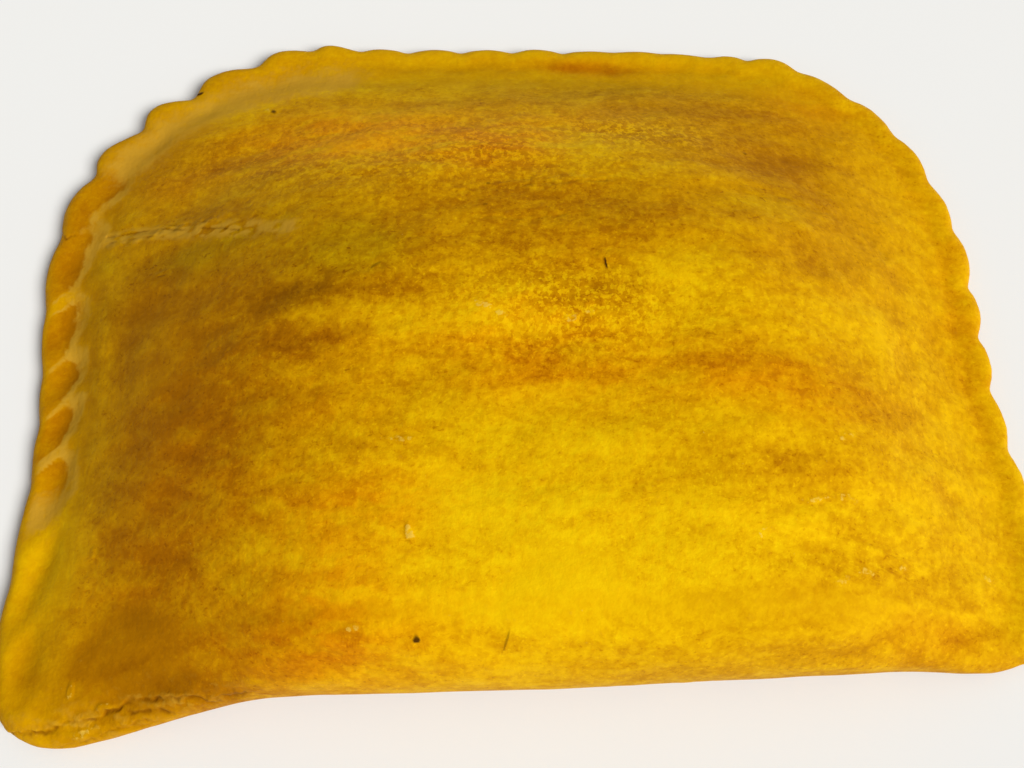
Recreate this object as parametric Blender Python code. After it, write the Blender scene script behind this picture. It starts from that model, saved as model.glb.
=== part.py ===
"""Savoury turnover: one sheet of yellow pastry folded over a filling, crimped and baked.

The plan is a deep D. The near edge is the fold, thick and round. The far edge and both ends are the
seal, pressed flat and cut with a fluted wheel, and the left end of the fold flares into a flat ear.
Sizes are in millimetres, with X along the fold, Y from the fold to the far edge and Z up.
"""

import math

import bmesh
import bpy
from mathutils import Vector, noise

MM = 0.001

# Plan, measured from the middle of the widest line: two superellipses that meet there
HALF_LENGTH = 74.9
SEAL_DEPTH = 67.5
SEAL_SQUARENESS = 3.6
FOLD_DEPTH = 42.0
FOLD_SQUARENESS = 7.0

# The ends of the fold, which flare out of its straight line as ears
LEFT_EAR_REACH = 11.0
LEFT_EAR_START = 34.0
LEFT_EAR_RUN = 38.0
RIGHT_EAR_REACH = 4.0
RIGHT_EAR_START = 50.0
RIGHT_EAR_RUN = 24.0
EAR_WARP_RUN = 30.0
FOLD_SKEW = 0.05
END_FLARE = 4.5
END_FLARE_TOP = 12.0
END_FLARE_RUN = 44.0

# Places where the baked outline is off the plain plan: x, y, reach, push x, push y
PULLS = [
    (46.0, 65.0, 7.0, 0.4, 1.3),
    (-36.0, 67.0, 11.0, -0.4, 1.9),
    (-74.0, 29.0, 14.0, -1.2, 0.3),
    (-76.0, -6.0, 15.0, 1.7, 0.0),
    (67.0, 48.0, 14.0, -0.6, -0.5),
    (-62.0, 56.0, 11.0, 0.9, -0.9),
    (-41.0, -42.0, 11.0, 0.0, -1.3),
    (-20.0, -42.0, 14.0, 0.0, -0.6),
]

# The mound of filling under the lid, whose far corners are rounder than the plan's
CROWN = 23.2
CROWN_FALL_ALONG = 0.12
CROWN_FALL_ACROSS = 0.12
MOUND_SQUARENESS = 2.3
MOUND_ROUNDING = 0.75
MOUND_ROUNDING_RUN = 16.0
LEFT_SLOPE_RUN = 50.0
RIGHT_SLOPE_RUN = 38.0
FAR_SLOPE_RUN = 46.0
SLOPE_CHANGE_RUN = 60.0
SLOPE_FOOT = 2.6
SLOPE_FULLNESS = 0.86

# The round fold, which thins toward the ears, and the stepped lip of an ear
ROLL_START = 0.65
ROLL_RUN = 4.5
LEFT_TAPER_START = 76.0
LEFT_TAPER_RUN = 52.0
RIGHT_TAPER_START = 84.0
RIGHT_TAPER_RUN = 42.0
FOLD_CORNER_START = 33.5
FOLD_CORNER_RUN = 7.0
EAR_LIP_WIDTH = 4.6
EAR_LIP_STEP = 0.9
EAR_LIP_STEP_RUN = 1.8
EAR_SLOPE_RUN = 24.0

# Pressed seal, its fluted edge and its crimp, whose ridges lean, and which is strongest at the left end and
# runs out toward the front of the ears and the far left corner
SEAL_THICKNESS = 3.6
SEAL_WIDTH = 8.4
SEAL_UNEVEN = 0.35
SEAL_UNEVEN_REACH = 14.0
FLUTE_DEPTH = 1.7
FLUTE_FADE = 6.0
FLUTE_MIDDLE = 0.6
FLUTE_ROUNDNESS = 0.75
FLUTE_LEAST = 0.6
FLUTE_RISE = 0.6
FLUTE_FALL = 1.55
FLUTE_FLATNESS = 0.75
FLUTE_UNEVEN = 0.5
FLUTE_LEAN = 1.55
CRIMP_DEPTH = 1.3
CRIMP_MIDDLE = 4.6
CRIMP_HALF_WIDTH = 3.2
CRIMP_RIDGE = 0.35
CRIMP_LEAST = 0.18
CRIMP_LEAN = 0.75
CRIMP_CHANGE_START = 18.0
CRIMP_CHANGE_RUN = 42.0
CRIMP_FRONT_RUN = 15.0
CRIMP_CORNER_START = 24.0
CRIMP_CORNER_RUN = 14.0
CRIMP_CORNER_FLATNESS = 0.85
LIP_HEIGHT = 0.6
LIP_HALF_WIDTH = 2.0

# Widths of the flutes from the right end of the fold, round the far edge, to the left end. Counted that way,
# which of them are the deepest, which baked flat, which lean to the left, and how much larger some are.
RIGHT_FLUTES = [5.0, 9.0, 10.0, 10.0, 10.0, 9.0, 9.0, 10.0, 10.0, 10.5]
FAR_FLUTES = [10.5, 10.0, 9.0, 7.5, 7.5, 8.5, 9.0, 9.0, 9.0, 9.5, 8.0, 8.3, 10.0, 12.7]
LEFT_FLUTES = [11.0, 11.8, 12.7, 13.0, 11.0, 8.0, 7.5, 9.5, 10.0, 11.5]
DEEP_FLUTES = (20.0, 24.0, 25.0, 28.0)
FLAT_FLUTES = (14, 15, 16)
LEANING_FLUTES = (21, 22, 23, 24, 25)
LARGER_FLUTES = {22: 0.76, 23: 1.33, 24: 1.38}

# Points of the outer rings, of which the inner rings have every other one
FLUTE_POINTS = 6
ALONG_FOLD = FLUTE_POINTS * len(FAR_FLUTES) // 2
ALONG_END = FLUTE_POINTS * len(LEFT_FLUTES) // 2
EDGE_SAMPLES = 1500

# Rings of the rounded edge from the underside up, as (distance in from the edge, height), at the seal and
# at the fold, then the distances in of the rings that lie on the lid and of the one under the base
SEAL_EDGE = [(3.2, 0.0), (0.8, 0.55), (0.0, 1.75), (0.5, 2.9)]
FOLD_EDGE = [(6.4, 0.0), (2.0, 1.9), (0.0, 6.8), (0.8, 12.0)]
LID_RINGS = [(1.8, 3.0), (4.2, 5.8), (6.6, 8.8), (8.9, 11.8)]
INNER_RINGS = [(12.2, 14.6), (16.8, 18.4), (22.0, 22.4)]
BASE_RING = (11.0, 15.0)

# Soft swells and hollows of the lid: middle x, y, reach x, y, height
SWELLS = [
    (16.0, -10.0, 36.0, 20.0, 0.8),
    (-30.0, 2.0, 18.0, 13.0, 0.6),
    (-36.0, 33.0, 20.0, 7.0, 0.9),
    (6.0, 37.0, 22.0, 7.0, 0.6),
    (57.0, 45.0, 11.0, 6.0, 1.5),
    (64.0, 27.0, 9.0, 6.0, 0.9),
    (15.0, 61.0, 10.0, 3.6, -1.1),
    (-24.0, 62.0, 9.0, 3.0, 0.5),
    (-50.0, -22.0, 10.0, 12.0, -0.7),
]

# Creases of the lid: first end x, y, second end x, y, depth, half width
CREASES = [
    (-64.0, 25.0, -33.0, 22.5, 0.8, 2.1),
    (-33.0, 22.5, -12.0, 24.5, 0.4, 2.4),
    (-8.0, 30.5, 17.0, 31.5, 0.45, 2.6),
    (36.0, 41.0, 69.0, 36.0, 0.9, 2.8),
    (46.0, 28.0, 70.0, 20.0, 0.6, 2.8),
]
CREASE_FADE = 8.0

# Uneven surface of the lid: reach x, reach y, height
WAVES = [(24.0, 16.0, 0.50), (15.0, 6.0, 0.26)]
SEAL_RELIEF = 0.2


def ease(value):
    """0 below 0, 1 above 1 and a smooth step between."""
    value = min(1.0, max(0.0, value))
    return value * value * (3.0 - 2.0 * value)


def slope_up(distance, run):
    """Pillow-like rise from 0 to 1 over a run, steepest just after its soft foot."""
    distance = max(0.0, distance)
    distance *= distance / (distance + SLOPE_FOOT)
    return math.sin(0.5 * math.pi * min(1.0, distance / run)) ** SLOPE_FULLNESS


def half_plan(y):
    """Depth and squareness of the half of the plan that y is in."""
    return (SEAL_DEPTH, SEAL_SQUARENESS) if y > 0.0 else (FOLD_DEPTH, FOLD_SQUARENESS)


def share_and_slope(x, y, depth, power):
    """Share of the way from the middle to a superellipse, and the slope of that share."""
    u, v = abs(x) / HALF_LENGTH, abs(y) / depth
    total = max(u**power + v**power, 1e-12)
    slope = math.hypot(u ** (power - 1.0) / HALF_LENGTH, v ** (power - 1.0) / depth)
    return total ** (1.0 / power), max(slope * total ** (1.0 / power - 1.0), 1e-6)


def edge_point(turn):
    """Point of the plain edge at one turn of its superellipse."""
    depth, power = half_plan(math.sin(turn))
    x = math.copysign(abs(math.cos(turn)) ** (2.0 / power), math.cos(turn))
    y = math.copysign(abs(math.sin(turn)) ** (2.0 / power), math.sin(turn))
    return Vector((HALF_LENGTH * x, depth * y))


def outward(point):
    """Unit normal of the plain edge at one of its points."""
    depth, power = half_plan(point.y)
    x = math.copysign((abs(point.x) / HALF_LENGTH) ** (power - 1.0) / HALF_LENGTH, point.x)
    y = math.copysign((abs(point.y) / depth) ** (power - 1.0) / depth, point.y)
    return Vector((x, y)).normalized()


def along_edge(first, last, shares):
    """Points of the plain edge at given shares of the way between two of its turns."""
    samples = [edge_point(first + (last - first) * i / EDGE_SAMPLES) for i in range(EDGE_SAMPLES + 1)]
    way = [0.0]
    for before, after in zip(samples, samples[1:]):
        way.append(way[-1] + (after - before).length)
    points = []
    j = 0
    for share in shares:
        wanted = share * way[-1]
        while way[j + 1] < wanted:
            j += 1
        points.append(samples[j].lerp(samples[j + 1], (wanted - way[j]) / (way[j + 1] - way[j])))
    return points


def flute_size(index):
    """Size of one flute, counted from the right end of the fold."""
    rising, full, falling, least = DEEP_FLUTES
    deeper = ease((index - rising) / (full - rising))
    deeper -= FLUTE_FALL * ease((index - falling) / (least - falling))
    uneven = 1.0 + FLUTE_UNEVEN * noise.noise(Vector((index * 1.7, 6.2, 0.4)))
    if index in FLAT_FLUTES:
        uneven *= 1.0 - FLUTE_FLATNESS
    return (FLUTE_LEAST + FLUTE_RISE * deeper) * uneven * LARGER_FLUTES.get(index, 1.0)


def flute_at(way):
    """Place in a flute and the flute's size, at a way along the widths of all flutes.

    The place runs from 0 in a notch to 1 at a round tip. The flutes of the far left corner are the deepest.
    """
    widths = RIGHT_FLUTES + FAR_FLUTES + LEFT_FLUTES
    way %= sum(widths)
    index = 0
    while way >= widths[index]:
        way -= widths[index]
        index += 1
    share = (way / widths[index]) ** (FLUTE_LEAN if index in LEANING_FLUTES else 1.0)
    return math.sin(math.pi * share) ** FLUTE_ROUNDNESS, flute_size(index)


def edge_places():
    """Points anticlockwise from the left end of the fold, and their ways along the flutes, 0 on the fold."""
    count = 2 * ALONG_FOLD
    fold = along_edge(-0.75 * math.pi, -0.25 * math.pi, [i / count for i in range(count)])
    widths = RIGHT_FLUTES + FAR_FLUTES + LEFT_FLUTES
    ways = []
    for index, width in enumerate(widths):
        ways += [sum(widths[:index]) + width * step / FLUTE_POINTS for step in range(FLUTE_POINTS)]
    sealed = along_edge(-0.25 * math.pi, 1.25 * math.pi, [way / sum(widths) for way in ways])
    return [(point, 0.0) for point in fold] + list(zip(sealed, ways))


def end_run(x):
    """Length of the slope at an end, which is gentler on the left."""
    return RIGHT_SLOPE_RUN + (LEFT_SLOPE_RUN - RIGHT_SLOPE_RUN) * ease(0.5 - x / SLOPE_CHANGE_RUN)


def end_rise(x):
    """How far the mound has risen along the fold, in from the ends of the pastry."""
    return slope_up(HALF_LENGTH - abs(x) - SEAL_WIDTH + LIP_HALF_WIDTH, end_run(x))


def fold_taper(x):
    """1 along the round part of the fold, 0 in the flat ears."""
    return ease((x + LEFT_TAPER_START) / LEFT_TAPER_RUN) * ease((RIGHT_TAPER_START - x) / RIGHT_TAPER_RUN)


def fold_share(point):
    """1 at an edge point of the full round fold, 0 at one of the flat seal."""
    along = ease((-point.y - FOLD_CORNER_START) / FOLD_CORNER_RUN)
    return along * fold_taper(point.x) * end_rise(point.x)


def mound_rise(x, y):
    """How far the lid has risen over the filling, in from the seal."""
    if y <= 0.0:
        return end_rise(x)
    share, slope = share_and_slope(x, y, SEAL_DEPTH, SEAL_SQUARENESS)
    round_share, round_slope = share_and_slope(x, y, SEAL_DEPTH, MOUND_SQUARENESS)
    plain = (1.0 - share) / slope
    rounded = (1.0 - round_share) / round_slope
    inside = MOUND_ROUNDING * ease((plain - SEAL_WIDTH) / MOUND_ROUNDING_RUN)
    distance = plain + (rounded - plain) * inside
    toward_far = (y / SEAL_DEPTH) ** 2 / ((x / HALF_LENGTH) ** 2 + (y / SEAL_DEPTH) ** 2)
    run = end_run(x) + (FAR_SLOPE_RUN - end_run(x)) * toward_far
    return slope_up(distance - SEAL_WIDTH + LIP_HALF_WIDTH, run)


def fold_rise(x, y):
    """How far the lid has risen from the fold, or from the lip of an ear."""
    distance = max(0.0, FOLD_DEPTH + y)
    roll = 1.0 - ROLL_START * math.exp(-distance / ROLL_RUN)
    ear = slope_up(distance - EAR_LIP_WIDTH, EAR_SLOPE_RUN)
    return ear + (roll - ear) * fold_taper(x)


def relief(x, y):
    """Swells, creases and the uneven surface of the lid."""
    height = 0.0
    for middle_x, middle_y, reach_x, reach_y, swell in SWELLS:
        height += swell * math.exp(-(((x - middle_x) / reach_x) ** 2) - ((y - middle_y) / reach_y) ** 2)
    for ax, ay, bx, by, depth, half in CREASES:
        length = math.hypot(bx - ax, by - ay)
        along = ((x - ax) * (bx - ax) + (y - ay) * (by - ay)) / length
        across = ((x - ax) * (ay - by) + (y - ay) * (bx - ax)) / length
        inside = ease(along / CREASE_FADE + 0.5) * ease((length - along) / CREASE_FADE + 0.5)
        height -= depth * inside * math.exp(-((across / half) ** 2))
    for reach_x, reach_y, wave in WAVES:
        height += wave * noise.noise(Vector((x / reach_x, y / reach_y, reach_y)))
    return height


def lid_height(x, y):
    """Height of the lid above a place of the plain plan, without the crimp."""
    fall = CROWN_FALL_ALONG * (x / HALF_LENGTH) ** 2 + CROWN_FALL_ACROSS * (y / SEAL_DEPTH) ** 2
    rise = mound_rise(x, y) * fold_rise(x, y)
    lip = EAR_LIP_STEP * (1.0 - fold_taper(x)) * ease((FOLD_DEPTH + y - EAR_LIP_WIDTH) / EAR_LIP_STEP_RUN)
    lip *= 1.0 - ease((FOLD_DEPTH + y - EAR_LIP_WIDTH) / EAR_SLOPE_RUN)
    height = SEAL_THICKNESS + (CROWN * (1.0 - fall) - SEAL_THICKNESS) * rise
    return height + lip + relief(x, y) * (SEAL_RELIEF + (1.0 - SEAL_RELIEF) * rise)


def crimp(point, way, distance):
    """Pressed hollow in each flute of the seal, with a ridge at each notch and a lip on the inner side."""
    left = ease((-point.x - CRIMP_CHANGE_START) / CRIMP_CHANGE_RUN)
    strength = (1.0 - fold_share(point)) * ease((point.y + FOLD_DEPTH) / CRIMP_FRONT_RUN)
    tip = flute_at(way + CRIMP_LEAN * left * distance)[0]
    left *= 1.0 - CRIMP_CORNER_FLATNESS * ease((point.y - CRIMP_CORNER_START) / CRIMP_CORNER_RUN)
    hollow = math.exp(-(((distance - CRIMP_MIDDLE) / CRIMP_HALF_WIDTH) ** 2)) * max(left, CRIMP_LEAST)
    lip = math.exp(-(((distance - SEAL_WIDTH) / LIP_HALF_WIDTH) ** 2)) * left
    return strength * (LIP_HEIGHT * lip - CRIMP_DEPTH * hollow * (tip - CRIMP_RIDGE))


def warp(x, y):
    """Pulls the ends of the fold out into ears, sets the fold askew and makes the outline uneven."""
    near = ease(-y / EAR_WARP_RUN)
    left = LEFT_EAR_REACH * ease((-x - LEFT_EAR_START) / LEFT_EAR_RUN)
    right = RIGHT_EAR_REACH * ease((x - RIGHT_EAR_START) / RIGHT_EAR_RUN)
    new_x = x + END_FLARE * ease((END_FLARE_TOP - y) / END_FLARE_RUN) * ease((x - 20.0) / 50.0)
    new_y = y + near * (FOLD_SKEW * max(0.0, x - 5.0) - left - right)
    for middle_x, middle_y, reach, push_x, push_y in PULLS:
        share = math.exp(-((x - middle_x) ** 2 + (y - middle_y) ** 2) / reach**2)
        new_x += push_x * share
        new_y += push_y * share
    return new_x, new_y


def inset(point, distance):
    """Place in the plain plan at a distance in from an edge point."""
    return point * (1.0 - distance / point.dot(outward(point)))


def fluted(point, way, share, distance):
    """Place at a distance in from an edge point, pushed out or in by its flute."""
    x, y = inset(point, distance)
    tip, size = flute_at(way) if way > 0.0 else (FLUTE_MIDDLE, 0.0)
    reach = (1.0 - share) * math.exp(-((distance / FLUTE_FADE) ** 2))
    out = outward(point) * (FLUTE_DEPTH * size * (tip - FLUTE_MIDDLE) * reach)
    return warp(x + out.x, y + out.y)


def edge_ring(bm, places, seal, fold):
    """Ring of the rounded edge, blended from the thin seal to the thick fold."""
    ring = []
    for point, way in places:
        share = fold_share(point)
        distance = seal[0] + (fold[0] - seal[0]) * share
        height = seal[1] + (fold[1] - seal[1]) * share
        uneven = noise.noise(Vector((point.x, point.y, SEAL_WIDTH)) / SEAL_UNEVEN_REACH)
        height += SEAL_UNEVEN * (1.0 - share) * uneven * min(1.0, height)
        ring.append(bm.verts.new((*fluted(point, way, share, distance), height)))
    return ring


def lid_ring(bm, places, seal, fold):
    """Ring of the lid near the edge, with the crimp."""
    ring = []
    for point, way in places:
        share = fold_share(point)
        distance = seal + (fold - seal) * share
        height = lid_height(*inset(point, distance)) + crimp(point, way, distance)
        ring.append(bm.verts.new((*fluted(point, way, share, distance), height)))
    return ring


def coarse_ring(places, seal, fold):
    """Points of one inner ring in the plain plan."""
    return [inset(point, seal + (fold - seal) * fold_share(point)) for point, _ in places[::2]]


def lid_vertex(bm, point):
    return bm.verts.new((*warp(point.x, point.y), lid_height(point.x, point.y)))


def join_rings(bm, outer, inner):
    """Faces between two rings, where the outer one has as many points or twice as many."""
    times = len(outer) // len(inner)
    for i in range(len(inner)):
        after = (i + 1) % len(inner)
        rim = [outer[(times * i + j) % len(outer)] for j in range(times + 1)]
        bm.faces.new([inner[i], *rim, inner[after]])


def fill_crown(bm, ring, points):
    """Four-sided patch over the middle of the lid, bordered by the innermost ring."""
    border = {}
    for i in range(ALONG_FOLD + 1):
        border[i, 0] = i
        border[i, ALONG_END] = 2 * ALONG_FOLD + ALONG_END - i
    for j in range(ALONG_END + 1):
        border[ALONG_FOLD, j] = ALONG_FOLD + j
        border[0, j] = (2 * ALONG_FOLD + 2 * ALONG_END - j) % len(ring)
    grid = {key: ring[index] for key, index in border.items()}
    plan = {key: points[index] for key, index in border.items()}
    for i in range(1, ALONG_FOLD):
        for j in range(1, ALONG_END):
            u, v = i / ALONG_FOLD, j / ALONG_END
            sides = plan[i, 0].lerp(plan[i, ALONG_END], v) + plan[0, j].lerp(plan[ALONG_FOLD, j], u)
            near = plan[0, 0].lerp(plan[ALONG_FOLD, 0], u)
            far = plan[0, ALONG_END].lerp(plan[ALONG_FOLD, ALONG_END], u)
            grid[i, j] = lid_vertex(bm, sides - near.lerp(far, v))
    for i in range(ALONG_FOLD):
        for j in range(ALONG_END):
            bm.faces.new((grid[i, j], grid[i + 1, j], grid[i + 1, j + 1], grid[i, j + 1]))


def make_turnover():
    """The whole pastry as one closed body."""
    bm = bmesh.new()
    places = edge_places()
    rings = [edge_ring(bm, places, seal, fold) for seal, fold in zip(SEAL_EDGE, FOLD_EDGE)]
    rings += [lid_ring(bm, places, seal, fold) for seal, fold in LID_RINGS]
    base = [bm.verts.new((*warp(point.x, point.y), 0.0)) for point in coarse_ring(places, *BASE_RING)]
    join_rings(bm, rings[0], base)
    bm.faces.new(base)
    for seal, fold in INNER_RINGS:
        innermost = coarse_ring(places, seal, fold)
        rings.append([lid_vertex(bm, point) for point in innermost])
    for outer, inner in zip(rings, rings[1:]):
        join_rings(bm, outer, inner)
    fill_crown(bm, rings[-1], innermost)
    bmesh.ops.recalc_face_normals(bm, faces=bm.faces)
    centre_on_base(bm)
    bmesh.ops.scale(bm, vec=(MM, MM, MM), verts=bm.verts)
    mesh = bpy.data.meshes.new("patty")
    bm.to_mesh(mesh)
    bm.free()
    return mesh


def centre_on_base(bm):
    """Moves the origin to the middle of the base."""
    low = [min(v.co[axis] for v in bm.verts) for axis in range(3)]
    high = [max(v.co[axis] for v in bm.verts) for axis in range(3)]
    middle = (-(low[0] + high[0]) / 2.0, -(low[1] + high[1]) / 2.0, -low[2])
    bmesh.ops.translate(bm, vec=middle, verts=bm.verts)


def pastry_material():
    material = bpy.data.materials.new("baked_pastry")
    material.use_nodes = True
    shader = material.node_tree.nodes["Principled BSDF"]
    shader.inputs["Base Color"].default_value = (0.60, 0.30, 0.008, 1.0)
    shader.inputs["Roughness"].default_value = 0.55
    shader.inputs["Metallic"].default_value = 0.0
    return material


for old in list(bpy.data.objects):
    bpy.data.objects.remove(old)

turnover = bpy.data.objects.new("patty", make_turnover())
bpy.context.collection.objects.link(turnover)
turnover.data.materials.append(pastry_material())
turnover.data.shade_smooth()
turnover.data.set_sharp_from_angle(angle=math.radians(60.0))
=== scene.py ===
"""Looks of a baked turnover of yellow pastry, lying on a pale table and seen steeply from above."""

import math

import bpy
import numpy as np
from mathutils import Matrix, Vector, kdtree, noise


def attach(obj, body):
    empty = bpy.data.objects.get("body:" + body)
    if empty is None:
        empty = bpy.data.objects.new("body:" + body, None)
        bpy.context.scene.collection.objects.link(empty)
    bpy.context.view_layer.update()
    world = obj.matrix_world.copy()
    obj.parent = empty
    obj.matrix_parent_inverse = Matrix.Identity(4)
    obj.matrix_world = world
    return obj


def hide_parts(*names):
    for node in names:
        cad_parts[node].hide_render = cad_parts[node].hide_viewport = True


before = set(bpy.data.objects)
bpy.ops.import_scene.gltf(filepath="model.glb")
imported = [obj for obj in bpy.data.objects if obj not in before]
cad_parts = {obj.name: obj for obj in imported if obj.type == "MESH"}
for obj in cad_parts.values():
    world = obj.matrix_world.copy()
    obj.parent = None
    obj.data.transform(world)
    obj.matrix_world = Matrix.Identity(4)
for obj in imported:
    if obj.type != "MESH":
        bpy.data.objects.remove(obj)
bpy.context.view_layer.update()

# The pastry case: one sheet of short, layered dough rolled out, folded over the filling, pressed shut and cut
# with a fluted wheel, then baked flat on a tray. Its facets are merged and smoothed, with a new base of even
# quads where it lay on the tray.
MM = 0.001
MERGE_REACH = 0.01 * MM
FLAT_BASE = 0.02 * MM
QUAD_ANGLE = math.radians(50.0)
BASE_SPAN = 30
SMOOTHING_LEVELS = 2

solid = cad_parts["patty"]
crust = bpy.data.objects.new("pastry_crust", solid.data.copy())
bpy.context.scene.collection.objects.link(crust)
bpy.ops.object.select_all(action="DESELECT")
crust.select_set(True)
bpy.context.view_layer.objects.active = crust
crust.data.materials.clear()
bpy.ops.mesh.customdata_custom_splitnormals_clear()
bpy.ops.object.mode_set(mode="EDIT")
bpy.ops.mesh.select_mode(type="VERT")
bpy.ops.mesh.select_all(action="SELECT")
bpy.ops.mesh.remove_doubles(threshold=MERGE_REACH)
bpy.ops.mesh.mark_sharp(clear=True)
bpy.ops.mesh.tris_convert_to_quads(face_threshold=QUAD_ANGLE, shape_threshold=QUAD_ANGLE)
bpy.ops.mesh.select_mode(type="FACE")
bpy.ops.mesh.select_all(action="DESELECT")
bpy.ops.object.mode_set(mode="OBJECT")

on_tray = [vertex.co.z < FLAT_BASE for vertex in crust.data.vertices]
inside_base = list(on_tray)
for edge in crust.data.edges:
    first, second = edge.vertices
    if not (on_tray[first] and on_tray[second]):
        inside_base[first] = inside_base[second] = False
for face in crust.data.polygons:
    face.select = all(inside_base[index] for index in face.vertices)
bpy.ops.object.mode_set(mode="EDIT")
bpy.ops.mesh.delete(type="FACE")
bpy.ops.mesh.select_mode(type="EDGE")
bpy.ops.mesh.select_non_manifold()
bpy.ops.mesh.fill_grid(span=BASE_SPAN)
bpy.ops.mesh.select_all(action="SELECT")
bpy.ops.mesh.normals_make_consistent(inside=False)
bpy.ops.object.mode_set(mode="OBJECT")
smoothing = crust.modifiers.new("smoothing", "SUBSURF")
smoothing.levels = SMOOTHING_LEVELS
smoothing.render_levels = SMOOTHING_LEVELS
bpy.ops.object.modifier_apply(modifier=smoothing.name)
bpy.ops.object.shade_smooth()

# The relief of the crust: rolling has drawn the layers out along the fold, so they bake into low ridges and
# thin scales that run that way. The lid has cracked along a crease at the far left and along the ear, where
# the lower sheet sticks out as a lip. Places are in millimetres from the middle of the base.
OUTLINE_STEEPNESS = 0.35
SIDE_START = 0.1
SIDE_END = 0.5
FOLD_LINE = -41.0
FOLD_LINE_RUN = 5.0
FOLD_LEFT = -50.0
FOLD_RIGHT = 68.0
FOLD_END_RUN = 10.0
RIM_WIDTH = 8.0
RIM_RUN = 4.0
RIM_FADE = 0.85
RIM_FADE_RUN = (40.0, 62.0)

# Layers of relief on the lid: reach along the fold, reach across it, height
LID_RELIEF = [(14.0, 6.5, 0.16), (7.0, 3.0, 0.08), (3.4, 1.9, 0.05), (1.7, 1.4, 0.05)]
# Layers of relief on the rim, which the roller pressed smooth
RIM_RELIEF = [(6.0, 5.0, 0.12), (2.4, 2.0, 0.04)]
# Thin scales of pastry: reach along and across, the levels where one ends, its thickness and softness
SCALE_REACH = (12.0, 5.0)
SCALE_LEVELS = (-0.30, -0.12, 0.05, 0.2, 0.36)
SCALE_THICKNESS = 0.06
SCALE_SOFTNESS = 0.04
# Blisters of the far slope and the middle: middle, reach, and the width and height of one
BLISTERED = [(-14.0, 30.0, 34.0, 9.0), (6.0, -1.0, 16.0, 7.0), (14.0, 33.0, 16.0, 5.0)]
BLISTER_WIDTH = 1.9
BLISTER_HEIGHT = 0.12
BLISTER_SLOPE = (-0.7, -0.15)
BLISTER_GROUPS = (4.0, 3.4)

# Cracks: route, half width, depth, height of the ledge on the left of the route, how far the ledge reaches,
# and how much of the full wander the crack has
EAR_CRACK = [(-73.0, -57.4), (-68.6, -56.6), (-65.2, -56.2), (-61.9, -55.2), (-59.1, -54.7), (-56.6, -54.0),
             (-54.8, -52.9), (-52.8, -52.4), (-51.0, -52.6), (-46.9, -52.5), (-41.3, -52.3), (-36.5, -51.6)]
EAR_SPLIT = [(-54.4, -54.2), (-50.7, -53.9), (-48.2, -54.2)]
EAR_LAYER = [(-69.0, -60.0), (-63.0, -58.2), (-57.0, -56.6), (-52.0, -55.2)]
LEFT_CREASE = [(-67.2, 19.5), (-62.5, 19.2), (-57.5, 18.9), (-52.8, 17.6), (-48.0, 16.8), (-42.9, 15.3)]
LEFT_CREASE_BELOW = [(-66.5, 18.3), (-62.0, 17.9), (-58.4, 17.6), (-54.0, 16.3)]
LEFT_CREASE_ABOVE = [(-57.0, 19.8), (-53.5, 18.6), (-50.0, 18.3), (-46.0, 17.2)]
FAR_CREASE = [(-9.0, 19.2), (-4.7, 19.9), (2.7, 20.7), (12.5, 21.6)]
FAR_CREASE_BELOW = [(-6.0, 13.9), (2.6, 14.1), (6.0, 14.6)]
RIGHT_CREASE = [(34.0, 21.0), (44.0, 20.2), (52.0, 18.0), (57.0, 14.0)]
NOTCH_CURL = [(-75.6, 21.6), (-74.6, 20.2), (-73.2, 20.6)]
CRACKS = [
    (EAR_CRACK, 0.32, 0.24, 0.20, 2.4, 0.8),
    (EAR_SPLIT, 0.34, 0.24, 0.12, 1.2, 0.4),
    (EAR_LAYER, 0.26, 0.10, 0.12, 1.2, 0.5),
    (LEFT_CREASE, 0.16, 0.18, 0.07, 0.7, 0.15),
    (LEFT_CREASE_BELOW, 0.14, 0.13, 0.06, 0.6, 0.15),
    (LEFT_CREASE_ABOVE, 0.13, 0.11, 0.04, 0.6, 0.15),
    (FAR_CREASE, 0.30, 0.10, 0.05, 1.6, 0.5),
    (FAR_CREASE_BELOW, 0.25, 0.07, 0.04, 1.2, 0.5),
    (RIGHT_CREASE, 1.0, 0.06, 0.0, 2.0, 1.0),
    (NOTCH_CURL, 0.25, 0.22, 0.10, 0.7, 0.3),
]
CRACK_WANDER = 1.1
CRACK_WANDER_REACH = 2.3
FULL_CRACK = 0.3
# Where layers have flaked: middle, reach along and across, then the reach, levels and thickness of a flake
FLAKY = [(-60.0, -55.8, 14.0, 3.4), (-46.0, -52.6, 10.0, 1.6), (-55.0, 17.8, 14.0, 1.3)]
FLAKE_REACH = (2.8, 1.3)
FLAKE_LEVELS = (-0.3, -0.1, 0.1, 0.3)
FLAKE_THICKNESS = 0.07
FLAKE_SOFTNESS = 0.05
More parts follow.
